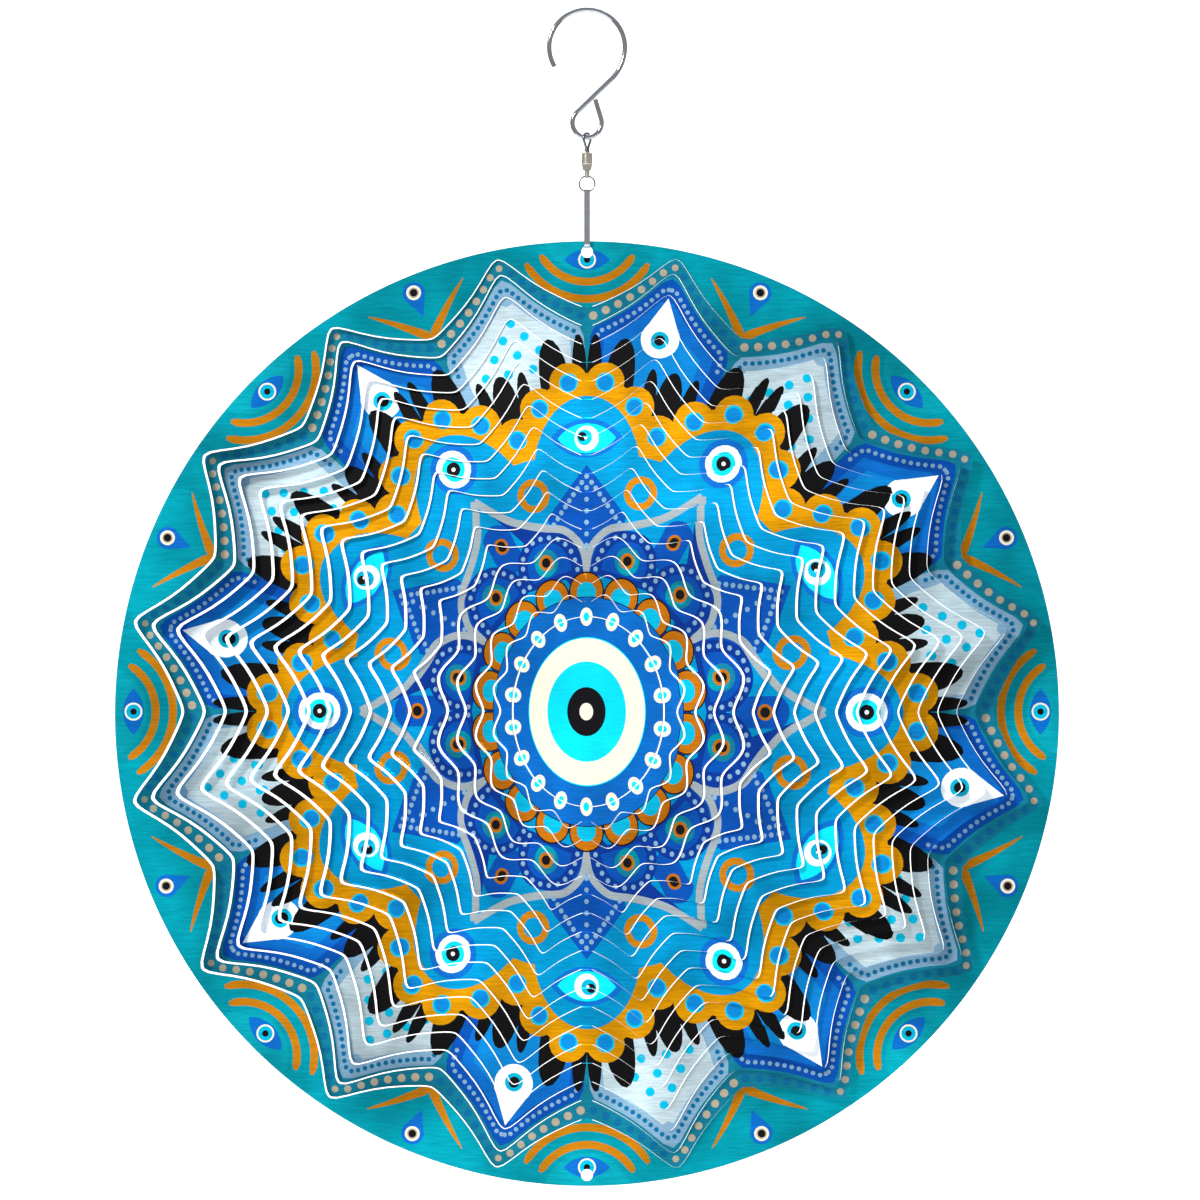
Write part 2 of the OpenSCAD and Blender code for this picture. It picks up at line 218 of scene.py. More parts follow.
@dataclass(frozen=True)
class Metal:
    """A bare metal surface: fine drawing or rolling lines along one way, and soft tarnish.

    The name says the metal and how its surface was made."""
    name: str
    code: str
    roughness: float
    line_mm: tuple[float, float, float] = (0.3, 0.3, 0.3)
    bump: float = 0.15
    tarnish: float = 0.08

    def build(self) -> bpy.types.Material:
        """Returns the material."""
        material, tree = new_material(self.name)
        place = add_node(tree, "ShaderNodeTexCoord").outputs["Object"]
        stretched = add_node(tree, "ShaderNodeMapping", {
            "Vector": place, "Scale": tuple(1 / (size * MM) for size in self.line_mm)})
        lines = add_node(tree, "ShaderNodeTexNoise", {
            "Vector": stretched.outputs[0], "Scale": 1.0, "Detail": 3.0})
        clouds = add_node(tree, "ShaderNodeTexNoise", {"Vector": place, "Scale": 260.0})
        shade = add_node(tree, "ShaderNodeMapRange", {
            "Value": clouds.outputs[0], "From Min": 0.3, "From Max": 0.7,
            "To Min": 1 - self.tarnish, "To Max": 1 + self.tarnish / 2})
        colour = add_node(tree, "ShaderNodeVectorMath", {
            0: linear(self.code)[:3], 1: shade.outputs[0]}, operation="MULTIPLY")
        rough = add_node(tree, "ShaderNodeMapRange", {
            "Value": lines.outputs[0], "From Min": 0.3, "From Max": 0.7,
            "To Min": self.roughness * 0.8, "To Max": self.roughness * 1.25})
        bump = add_node(tree, "ShaderNodeBump", {
            "Strength": self.bump, "Distance": 0.00003, "Height": lines.outputs[0]})
        skin = add_node(tree, "ShaderNodeBsdfPrincipled", {
            "Base Color": colour.outputs[0], "Metallic": 1.0,
            "Roughness": rough.outputs[0], "Normal": bump.outputs[0]})
        add_node(tree, "ShaderNodeOutputMaterial", {"Surface": skin.outputs[0]})
        return material


@dataclass(frozen=True)
class BackdropPaper:
    """Matt studio paper. The white sweep is lit through from behind, so that it reads white."""
    name: str = "white studio paper"
    code: str = "#fbfbfa"
    glow: float = 0.6

    def build(self) -> bpy.types.Material:
        """Returns the material."""
        material = bpy.data.materials.new(self.name)
        material.use_nodes = True
        skin = material.node_tree.nodes["Principled BSDF"]
        skin.inputs["Base Color"].default_value = linear(self.code)
        skin.inputs["Roughness"].default_value = 0.95
        skin.inputs["Emission Color"].default_value = linear(self.code)
        skin.inputs["Emission Strength"].default_value = self.glow
        return material


# Laser-cut edges are bare: grey, with a bright burr
CUT_EDGE = Metal("bare laser-cut stainless edge", "#d9dcdd", 0.38, (0.2, 0.2, 0.2), 0.1)
# Zinc-plated wire is bright and slightly blue, with faint drawing lines
BRIGHT_WIRE = Metal("bright zinc-plated drawn wire", "#a4a9b0", 0.1, (0.5, 0.5, 0.5), 0.04)
# Plain wire is a little greyer
PLAIN_WIRE = Metal("plain drawn steel wire", "#7d8084", 0.2, (0.4, 0.4, 0.4), 0.12)
# Nickel plate is warmer, with turning lines round the axis; bare brass is yellower
NICKEL = Metal("nickel-plated turned brass", "#cfcabd", 0.2, (2.0, 2.0, 0.3), 0.04, 0.1)
PALE_BRASS = Metal("pale turned brass", "#cdb98a", 0.25, (2.0, 2.0, 0.3), 0.04, 0.1)
# Polished balls are the brightest, and smooth
BEARING = Metal("polished bearing steel", "#dadde0", 0.08, (0.2, 0.2, 0.2), 0.02)
# Rolled strip has long rolling lines up and down
SPRING_STRIP = Metal("rolled stainless spring strip", "#b4bac2", 0.16, (0.15, 0.15, 4.0), 0.12)


# ---- The cut sheet ----

@dataclass(frozen=True)
class SheetCuts:
    """The laser cuts of the disc, in millimetres: sizes are the CAD model's own.

    Pairs give a value at the stars' tips and one at their valleys."""
    disc_r: float = 152.4
    hole_r: float = 1.9
    hole_inset: float = 3.5
    kerf: float = 0.2
    tab_w: float = 3.6
    rim: tuple[float, float] = (3.2, 21.5)
    first_ring: tuple[float, float] = (5.0, 6.2)
    centre_r: float = 30.65
    last_ring: tuple[float, float] = (7.65, 4.25)
    wave_step: tuple[float, float] = (6.3, 5.9)
    first_point: tuple[float, float] = (8.2, 5.9)
    points: int = 16
    star_cuts: int = 12
    wave_cuts: int = 4
    flank_steps: int = 12
    corner: float = 0.1          # share of a flank that is rounded at each end
    ogee: float = 0.38           # how hollow a star's flank is, and how late it rises
    ogee_power: float = 3.5
    wave_point: float = 0.25     # how pointed the waves are
    slot_end: float = 0.6        # half height of a cut's end at a tab, in kerfs
    tab_clear: float = 0.2       # how far from a tab the curved edge starts

    @property
    def count(self) -> int:
        """Number of cuts, the rim's and the round one included."""
        return 2 + self.star_cuts + self.wave_cuts

    @property
    def half(self) -> float:
        """Angle from a valley to a tip."""
        return 180 / self.points

    def radii(self, k: int) -> tuple[float, float]:
        """Returns the radius of cut k at its tips and at its valleys."""
        out = []
        for i in (0, 1):
            rim = self.disc_r - self.rim[i]
            star_out = rim - self.first_ring[i]
            wave_in = self.centre_r + self.last_ring[i]
            wave_out = wave_in + (self.wave_cuts - 1) * self.wave_step[i]
            star_in = wave_out + self.first_point[i]
            if k == 1:
                out.append(rim)
            elif k <= 1 + self.star_cuts:
                out.append(mix(star_out, star_in, (k - 2) / (self.star_cuts - 1)))
            elif k < self.count:
                share = (k - 2 - self.star_cuts) / (self.wave_cuts - 1)
                out.append(mix(wave_out, wave_in, share))
            else:
                out.append(self.centre_r)
        return out[0], out[1]

    def soften(self, t: float) -> float:
        """Returns a share t, 0 to 1, with a rounded start."""
        c = self.corner
        return (math.hypot(t, c) - c) / (math.hypot(1, c) - c)

    def rise(self, k: int, u: float) -> float:
        """Returns the rise from valley (u = 0) to tip (u = 1): an ogee, or a wave in the middle."""
        v = self.soften(1 - self.soften(1 - u))
        if k <= 1 + self.star_cuts:
            return (1 - self.ogee) * v + self.ogee * v ** self.ogee_power
        return mix((1 - math.cos(math.pi * u)) / 2, v, self.wave_point)

    def tip_share(self, a: float) -> float:
        """Returns how far a degrees from the axis lies from a valley (0) to a tip (1)."""
        return abs((a + self.half) % (2 * self.half) - self.half) / self.half

    def radius(self, k: int, a: float) -> float:
        """Returns the radius of cut k at a degrees from the axis."""
        tip, valley = self.radii(k)
        return mix(valley, tip, self.rise(k, self.tip_share(a)))

    def tab_z(self, k: int) -> float:
        """Returns the height of cut k's tab over the centre."""
        side = math.asin(self.tab_w / 2 / self.radius(k, 0))
        return self.radius(k, math.degrees(side)) * math.cos(side)

    def edge(self, k: int, side: int) -> Outline:
        """Returns the edge of cut k as a closed outline, flat across the tabs.

        Args:
            k: The cut, 1 at the rim.
            side: 1 for the outer edge of the cut, -1 for the inner edge.
        """
        w, flat = self.tab_w / 2, self.tab_z(k) + side * self.kerf * self.slot_end
        right: Outline = [(w, flat)]
        for i in range(self.points * self.flank_steps):
            step, j = divmod(i, self.flank_steps)
            a = self.half * (step + (1 - math.cos(math.pi * j / self.flank_steps)) / 2)
            before, here, after = (Vector(polar(self.radius(k, a + d), a + d))
                                   for d in (-0.02, 0, 0.02))
            along = (after - before).normalized()
            p = here + Vector((-along.y, along.x)) * side * self.kerf / 2
            if p.x > w + self.tab_clear:
                right.append((p.x, p.y))
        right.append((w, -flat))
        return right + [(-x, z) for x, z in reversed(right)]


# ---- Outlines of the print's motifs, in a frame at a polar place: t clockwise, n outwards ----

@dataclass(frozen=True)
class Spot:
    """A place on the print: radius and angle of its centre, and a turn of its own."""
    r: float
    a: float
    turn: float = 0.0

    def put(self, shape: Iterable[Point]) -> Outline:
        """Returns a shape's points, given as (t, n) about the spot, on the sheet."""
        ox, oz = polar(self.r, self.a)
        angle = math.radians(self.a + self.turn)
        c, s = math.cos(angle), math.sin(angle)
        return [(ox + t * c + n * s, oz - t * s + n * c) for t, n in shape]


def round_dot(r: float, steps: int = 12, t: float = 0.0, n: float = 0.0) -> Outline:
    """Returns a round dot about (t, n)."""
    turns = [2 * math.pi * i / steps for i in range(steps)]
    return [(t + r * math.cos(a), n + r * math.sin(a)) for a in turns]


def oval(half_t: float, half_n: float, steps: int = 28) -> Outline:
    """Returns an ellipse with the given half widths."""
    return [(half_t * t, half_n * n) for t, n in round_dot(1, steps)]


def almond(half_t: float, half_n: float, steps: int = 10) -> Outline:
    """Returns a pointed almond along t, of two circular arcs."""
    upper = [-math.cos(math.pi * i / steps) for i in range(steps + 1)]
    radius = (half_t ** 2 + half_n ** 2) / (2 * half_n)
    arc = [(u * half_t, math.sqrt(radius ** 2 - (u * half_t) ** 2) - radius + half_n)
           for u in upper]
    return arc + [(t, -n) for t, n in reversed(arc[1:-1])]


def teardrop(r: float, length: float, steps: int = 14) -> Outline:
    """Returns a round drop of radius r with its point at n = length (below if negative)."""
    up = 1 if length > 0 else -1
    lean = math.acos(r / abs(length)) * 0.8
    turns = [mix(lean, 2 * math.pi - lean, i / steps) for i in range(steps + 1)]
    return [(0.0, length)] + [(r * math.sin(a), up * r * math.cos(a)) for a in turns]


def feather(half: float, foot: float, steps: int = 10) -> Outline:
    """Returns a round-topped feather, widest at its foot at n = -foot, with its top at n = 0."""
    return [(half * math.sin(a), foot * (math.cos(a) ** 0.8 - 1))
            for a in (mix(-1.57, 1.57, i / steps) for i in range(steps + 1))]


def stroke(path: Outline, width: Callable[[float], float]) -> Outline:
    """Returns a brush stroke along a path.

    Args:
        path: Points of the middle line.
        width: The stroke's width at a share 0 to 1 of the way along.
    """
    left, right = [], []
    for i, p in enumerate(path):
        along = heading(path, i)
        across = Vector((-along.y, along.x)).normalized() * width(i / (len(path) - 1)) / 2
        left.append((p[0] + across.x, p[1] + across.y))
        right.append((p[0] - across.x, p[1] - across.y))
    return left + right[::-1]


def smooth(points: Outline, steps: int = 5) -> Outline:
    """Returns a smooth curve through points (Catmull-Rom)."""
    ends = [points[0]] + points + [points[-1]]
    out: Outline = []
    for i in range(1, len(ends) - 2):
        p0, p1, p2, p3 = (Vector(q) for q in ends[i - 1:i + 3])
        for j in range(steps):
            t = j / steps
            q = 0.5 * (2 * p1 + (p2 - p0) * t + (2 * p0 - 5 * p1 + 4 * p2 - p3) * t ** 2
                       + (3 * p1 - p0 - 3 * p2 + p3) * t ** 3)
            out.append((q.x, q.y))
    return out + [points[-1]]


def spaced(path: Outline, gap: float, start: float = 0.0) -> Outline:
    """Returns points along a path, gap apart, the first at the distance start."""
    out, due = [], start
    for p, q in zip(path, path[1:]):
        span = math.dist(p, q)
        while due <= span:
            out.append((mix(p[0], q[0], due / span), mix(p[1], q[1], due / span)))
            due += gap
        due -= span
    return out


@dataclass
class EyePrint:
    """The printed picture: layers of flat outlines, painted in order, the last on top."""
    cuts: SheetCuts
    layers: list[tuple[Outline, Ink]] = field(default_factory=list)

    def paint(self, ink: Ink, outline: Outline) -> None:
        """Adds an outline in one ink."""
        self.layers.append((outline, ink))

    def around(self, count: int, first: float = 0.0) -> Iterator[float]:
        """Returns count angles evenly round the disc, from the angle first."""
        return (first + 360 * i / count for i in range(count))

    def eye(self, spot: Spot, parts: Iterable[tuple[Ink, float]], off: Point = (0, 0)) -> None:
        """Paints round parts on each other, each moved a further step off the middle."""
        for i, (ink, r) in enumerate(parts):
            self.paint(ink, spot.put(round_dot(r, 20, off[0] * i, off[1] * i)))

    def star(self, tip: float, valley: float, shape_of: int) -> Outline:
        """Returns a star outline with the flank shape of a cut and other radii."""
        steps = 6
        turns = [i * self.cuts.half / steps for i in range(self.cuts.points * 2 * steps)]
        return [polar(mix(valley, tip, self.cuts.rise(shape_of, self.cuts.tip_share(a))), a)
                for a in turns]

    def rim(self) -> None:
        """Paints the rim: smiling arcs under an almond eye, and drop eyes over a chevron."""
        self.paint(Ink.TEAL, round_dot(self.cuts.disc_r + 1, 240))
        for a in self.around(8):
            centre = Spot(156.6, a)
            for radius in (17.4, 23.0):
                arc = [(radius * math.sin(math.radians(b)), -radius * math.cos(math.radians(b)))
                       for b in range(-60, 61, 6)]
                self.paint(Ink.OCHRE, centre.put(stroke(
                    arc, lambda u: 2.5 * min(1, 12 * min(u, 1 - u) + 0.5))))
            self.paint(Ink.MINT, centre.put(round_dot(14.6, 40)))
            self.paint(Ink.BLUE, Spot(146.4, a).put(almond(7.4, 3.4)))
            self.eye(Spot(146.4, a), ((Ink.CREAM, 2.9), (Ink.TURQUOISE, 2.35), (Ink.PUPIL, 1.05)))
        for a in self.around(8, 22.5):
            arms = [(1.66 * i, 0.3 + 1.42 * abs(i) + 0.045 * (10 - abs(i)) * abs(i) / 2)
                    for i in range(-10, 11)]
            self.paint(Ink.OCHRE, Spot(130.6, a).put(stroke(
                arms, lambda u: 0.3 + 2.9 * (1 - abs(2 * u - 1)) ** 0.8)))
            self.paint(Ink.BLUE, Spot(146.6, a).put(teardrop(3.7, -8.2)))
            self.eye(Spot(146.8, a), ((Ink.CREAM, 2.4), (Ink.SAND, 1.7), (Ink.PUPIL, 1.25)))

    def star_band(self) -> None:
        """Paints the dark star band, with sand dots up one flank and blue dots down the other."""
        self.paint(Ink.DEEP_TEAL, self.star(149.4, 130.6, 1))
        for tip in self.around(16, self.cuts.half):
            for side, ink in ((-1, Ink.SAND), (1, Ink.SEA)):
                flank = [polar(mix(127.8, 146.6, self.cuts.rise(1, 1 - i / 12)),
                               tip + side * self.cuts.half * i / 12) for i in range(13)]
                dots = spaced(flank, 4.45, 4.3)[:7]
                for i, (x, z) in enumerate(dots):
                    self.paint(ink, round_dot(1.2 + 0.03 * i, 12, x, z))
            self.paint(Ink.SAND, Spot(146.4, tip).put(round_dot(1.1)))

    def petal_edge(self, inset: float) -> Outline:
        """Returns the right half of an outer petal about its own axis, from its tip to its foot."""
        half = self.cuts.half
        flank = [polar(mix(124.0, 142.6, self.cuts.rise(2, 1 - i / 10)), half * i / 10)
                 for i in range(10)]
        flank.append(polar(121.5, half * 0.955))
        flank += [polar(116.5, half * 0.972), polar(110.0, half * 0.985), polar(98.0, half * 0.9)]
        out = []
        for i, p in enumerate(flank):
            along = heading(flank, i)
            inwards = Vector((along.y, -along.x)).normalized() * inset
            out.append((p[0] + inwards.x, p[1] + inwards.y))
        out[0] = (0.0, flank[0][1] - inset * 1.9)   # where the two inset flanks meet
        return [q for q in out if q[0] >= 0]

    def outer_petals(self) -> None:
        """Paints sixteen petals, white with turquoise dots and blue with a drop eye by turns."""
        for i, a in enumerate(self.around(16, -self.cuts.half)):
            white = i % 2 == 0
            spot = Spot(0, a)
            full = [spot.put(self.petal_edge(d) + [(-x, z) for x, z in
                                                   reversed(self.petal_edge(d)) if x > 0.01])
                    for d in (0.0, 4.6, 8.4)]
            self.paint(Ink.GREY_BLUE if white else Ink.MID_BLUE, full[0])
            self.paint(Ink.SILVER if white else Ink.BLUE, full[1])
            if not white:
                self.paint(Ink.SKY, full[2])
            edge = self.petal_edge(2.1)[:-2]
            for x, z in spaced(edge, 2.35, 1.2 if white else 0.6):
                for s in (-1, 1):
                    self.paint(Ink.SEA if white else Ink.GREY_BLUE,
                               spot.put(round_dot(0.82 if white else 0.75, 8, s * x, z)))
            if white:
                for z, xs in ((128.5, (0,)), (123.5, (-3.6, 3.6)), (118.0, (-7.6, 0, 7.6)),
                              (112.5, (-4.2, 4.2, -11.5, 11.5)), (107.5, (-8.2, 0, 8.2))):
                    for x in xs:
                        self.paint(Ink.TURQUOISE, spot.put(round_dot(1.5, 12, x, z)))
            else:
                drop = Spot(122.5, a)
                self.paint(Ink.WHITE, drop.put(teardrop(6.3, 13.5, 18)))
                self.eye(Spot(122.0, a), ((Ink.TURQUOISE, 3.0), (Ink.PUPIL, 1.75)))

    def feathers(self) -> None:
        """Paints the black feathers between the petals and the gold border."""
        for a in self.around(12):
            for side in (-1, 1):
                self.paint(Ink.BLACK, Spot(122.3, a + side * 1.35, side * 1).put(feather(2.4, 14)))
                self.paint(Ink.BLACK, Spot(121.4, a + side * 6.1, side * 4).put(feather(5.3, 20)))
        for a in self.around(12, 15):
            self.paint(Ink.BLACK, Spot(112.8, a).put(feather(4.2, 14)))
            for side in (-1, 1):
                self.paint(Ink.BLACK, Spot(112.6, a + side * 3.7, side * 3).put(feather(2.3, 12)))
        self.paint(Ink.BLACK, round_dot(104.5, 160))

    def gold_border(self) -> None:
        """Paints the gold scallops, the twelve light blue petals and their blue discs."""
        lobes = ((3.25, 106.7, 6.4), (-3.25, 106.7, 6.4), (9.2, 99.6, 6.6), (-9.2, 99.6, 6.6),
                 (15.0, 91.4, 7.0))
        for a in self.around(12):
            self.paint(Ink.GOLD, Spot(76.0, a).put(oval(24.5, 33.6, 40)))
            for da, r, size in lobes:
                self.paint(Ink.GOLD, Spot(r, a + da).put(round_dot(size, 20)))
        for a in self.around(12):
            self.paint(Ink.LIGHT_BLUE, Spot(75.0, a).put(oval(18.8, 27.2, 40)))
        self.paint(Ink.LIGHT_BLUE, round_dot(84.0, 120))
        for a in self.around(12):
            for da, r, _ in lobes:
                self.paint(Ink.TURQUOISE, Spot(r, a + da).put(round_dot(3.1, 16)))
                self.paint(Ink.SKY, Spot(r - 0.2, a + da).put(round_dot(2.45, 14)))

    def petal_eyes(self) -> None:
        """Paints an almond eye or a round eye in each light blue petal."""
        for a in self.around(6):
            for ink, t, n in ((Ink.BLUE, 12.3, 6.4), (Ink.BRIGHT_TURQUOISE, 9.9, 4.9)):
                self.paint(ink, Spot(88.4, a).put(almond(t, n)))
            self.eye(Spot(88.4, a), ((Ink.WHITE, 4.1), (Ink.TURQUOISE, 2.6), (Ink.PUPIL, 1.5)),
                     (-0.75, 0.3))
            self.paint(Ink.WHITE, Spot(88.6, a - 0.25).put(round_dot(0.55)))
        for a in self.around(6, 30):
            self.eye(Spot(91.4, a), ((Ink.BLUE, 8.1), (Ink.WHITE, 6.1), (Ink.BRIGHT_TURQUOISE, 4.0),
                                     (Ink.PUPIL, 2.4), (Ink.WHITE, 0.7)))

    def gold_rings(self) -> None:
        """Paints the twelve gold rings between the petals' feet."""
        for a in self.around(12, 15):
            self.eye(Spot(72.6, a), ((Ink.OCHRE, 5.5), (Ink.LIGHT_BLUE, 3.25)))

    def arches(self) -> None:
        """Paints the dark kites, the grey arches with their dots, and the small eyes inside."""
        side = [(0.0, 79.2), (5.0, 69.3), (9.8, 64.7), (15.5, 61.5), (22.0, 59.3), (27.0, 54.7),
                (29.3, 50.0), (30.0, 44.5)]
        dome = [(1.6, 45.5), (2.6, 52.0), (7.2, 57.0), (12.4, 58.6), (19.2, 57.0),
                (24.0, 51.7), (25.9, 45.5)]
        for a in self.around(6):
            self.paint(Ink.MID_BLUE, [polar(79.8, a), polar(64.2, a + 12.8), polar(50, a + 13),
                                      polar(44, a), polar(50, a - 13), polar(64.2, a - 12.8)])
        for a in self.around(6, 30):
            half = smooth([polar(r, b) for b, r in side])
            arch = half + [(-x, z) for x, z in reversed(half) if x > 0.01]
            spot = Spot(0, a)
            self.paint(Ink.DARK_BLUE, spot.put(arch + [polar(36, -30), polar(36, 30)]))
            for s in (-1, 1):
                one = [(s * x, z) for x, z in half]
                self.paint(Ink.GREY, spot.put(stroke(one, lambda u: 2.5)))
            self.paint(Ink.MID_BLUE, Spot(61.0, a).put(almond(5.2, 8.5)))
            self.eye(Spot(62.2, a), ((Ink.ORANGE, 2.6), (Ink.PUPIL, 1.7)))
        for a in self.around(6, 30):
            for s in (-1, 1):
                path = smooth([polar(r, a + s * b) for b, r in dome])
                middle = Vector(polar(50.0, a + s * 12.8))
                for ink, scale in ((Ink.DARK_BLUE, 1.2), (Ink.MID_BLUE, 0.8)):
                    self.paint(ink, [tuple(middle + scale * (Vector(p) - middle)) for p in path])
                for x, z in spaced(path, 3.2, 0.5):
                    self.paint(Ink.GREY_BLUE, round_dot(0.85, 9, x, z))
                spot = Spot(50.6, a + s * 12.6)
                self.paint(Ink.DEEP_TEAL, spot.put(round_dot(4.5, 20)))
                self.paint(Ink.TEAL, spot.put(round_dot(3.6, 18, -s * 0.6, -1.0)))
                self.eye(spot, ((Ink.ORANGE, 2.6), (Ink.PUPIL, 1.6)))
        for a in self.around(6):
            spot = Spot(0, a)
            for i in range(8):
                t, n = mix(1.7, 12.0, i / 7), mix(74.1, 60.6, i / 7)
                for s in (-1, 1):
                    self.paint(Ink.GREY_BLUE, spot.put(round_dot(0.85, 9, s * t, n)))
            for i in range(7):
                self.paint(Ink.GREY_BLUE, spot.put(round_dot(0.85, 9, 0, 76.1 - 3.73 * i)))

    def medallion(self) -> None:
        """Paints the great eye in the middle, in its ring of orange scallops."""
        self.paint(Ink.DARK_BLUE, round_dot(40.0, 90))
        for a in self.around(18):
            spot = Spot(39.4, a)
            for ink, half, top in ((Ink.BLACK, 6.75, 5.9), (Ink.ORANGE, 6.3, 5.4),
                                   (Ink.TURQUOISE, 3.7, 2.5)):
                arch = [(half * math.cos(math.pi * i / 14), top - half * 0.92 + half * 0.92
                         * math.sin(math.pi * i / 14)) for i in range(15)]
                self.paint(ink, spot.put(arch + [(-half * 0.9, -4.0), (half * 0.9, -4.0)]))
        self.paint(Ink.BLACK, round_dot(37.2, 90))
        self.paint(Ink.BLUE, round_dot(36.9, 90))
        for a in self.around(18):
            self.paint(Ink.CREAM, Spot(30.65, a).put(oval(2.5, 3.0, 18)))
            self.paint(Ink.BRIGHT_TURQUOISE, Spot(30.65, a).put(oval(1.2, 1.5, 12)))
        for ink, r in ((Ink.BRIGHT_TURQUOISE, 24.1), (Ink.CREAM, 23.7),
                       (Ink.BRIGHT_TURQUOISE, 16.2), (Ink.PUPIL, 7.9), (Ink.CREAM, 2.8)):
            self.paint(ink, round_dot(r, 72))

    def draw(self) -> "EyePrint":
        """Paints everything from the rim inwards and returns the print."""
        for step in (self.rim, self.star_band, self.outer_petals, self.feathers,
                     self.gold_border, self.petal_eyes, self.gold_rings, self.arches,
                     self.medallion):
            step()
        return self

    def ink_at(self, x: float, z: float) -> Ink:
        """Returns the ink on top at a point of the sheet."""
        for outline, ink in reversed(self.layers):
            inside = False
            for (x1, z1), (x2, z2) in zip(outline, outline[1:] + outline[:1]):
                if (z1 > z) != (z2 > z) and x < (x2 - x1) * (z - z1) / (z2 - z1) + x1:
                    inside = not inside
            if inside:
                return ink
        return Ink.TEAL


# ---- Flat pieces of the sheet ----

@dataclass
class FlatPiece:
    """Triangles of one ring of the sheet, still flat, with the ink of each."""
    corners: list[tuple[int, int, int]] = field(default_factory=list)
    inks: list[Ink] = field(default_factory=list)


@dataclass
class FlatSheet:
    """The whole sheet cut along the laser's path and along every edge of the print."""
    cuts: SheetCuts
    picture: EyePrint
    points: list[Vector] = field(default_factory=list)
    rings: list[FlatPiece] = field(default_factory=list)

    @staticmethod
    def anticlockwise(outline: Outline) -> Outline:
        """Returns the outline with its points in anticlockwise order."""
        area = sum(x1 * z2 - x2 * z1 for (x1, z1), (x2, z2)
                   in zip(outline, outline[1:] + outline[:1]))
        return outline if area > 0 else outline[::-1]

    def cut(self) -> "FlatSheet":
        """Splits the sheet into rings of inked triangles and returns it."""
        cuts, layers = self.cuts, self.picture.layers
        disc = round_dot(cuts.disc_r, 360)
        holes = [round_dot(cuts.hole_r, 40, 0, s * (cuts.disc_r - cuts.hole_inset))
                 for s in (1, -1)]
        outer = [cuts.edge(k, 1) for k in range(1, cuts.count + 1)]
        inner = [cuts.edge(k, -1) for k in range(1, cuts.count + 1)]
        outlines = [o for o, _ in layers] + [disc] + holes + outer + inner
        first_hole = len(layers) + 1
        first_outer = first_hole + len(holes)
        first_inner = first_outer + len(outer)
        points: list[Vector] = []
        faces: list[list[int]] = []
        for outline in outlines:
            faces.append(list(range(len(points), len(points) + len(outline))))
            points += [Vector(p) for p in self.anticlockwise(outline)]
        made = delaunay_2d_cdt(points, [], faces, 1, 1e-4, True)
        self.points = made[0]
        self.rings = [FlatPiece() for _ in range(cuts.count + 1)]
        for corners, owners in zip(made[2], made[5]):
            held = set(owners)
            outs = sum(1 for i in held if first_outer <= i < first_inner)
            ins = sum(1 for i in held if i >= first_inner)
            if len(layers) not in held or outs != ins or held & {first_hole, first_hole + 1}:
                continue
            piece = self.rings[outs]
            piece.corners.append(tuple(corners))
            piece.inks.append(layers[max(i for i in held if i < len(layers))][1])
        return self


def ink_corners(mesh: bpy.types.Mesh, inks: list[Ink]) -> None:
    """Gives each face corner of a mesh its ink: the colour, and how clear the ink is."""
    mesh.attributes.new("ink", "FLOAT_COLOR", "CORNER").data.foreach_set(
        "color", [v for ink in inks for v in ink.colour])
    mesh.attributes.new("clear", "FLOAT", "CORNER").data.foreach_set(
        "value", [ink.clear for ink in inks])


# ---- Meshes by Geometry Nodes ----

def new_tree(name: str, inputs: dict[str, str]) -> tuple[bpy.types.NodeTree, bpy.types.Node]:
    """Makes a geometry tree with named inputs after its geometry.

    Args:
        name: The tree's name.
        inputs: Input name to socket type.

    Returns:
        The tree and its Group Input node.
    """
    tree = bpy.data.node_groups.new(name, "GeometryNodeTree")
    tree.interface.new_socket("Geometry", in_out="INPUT", socket_type="NodeSocketGeometry")
    for label, kind in inputs.items():
        tree.interface.new_socket(label, in_out="INPUT", socket_type=kind)
    tree.interface.new_socket("Geometry", in_out="OUTPUT", socket_type="NodeSocketGeometry")
    return tree, tree.nodes.new("NodeGroupInput")


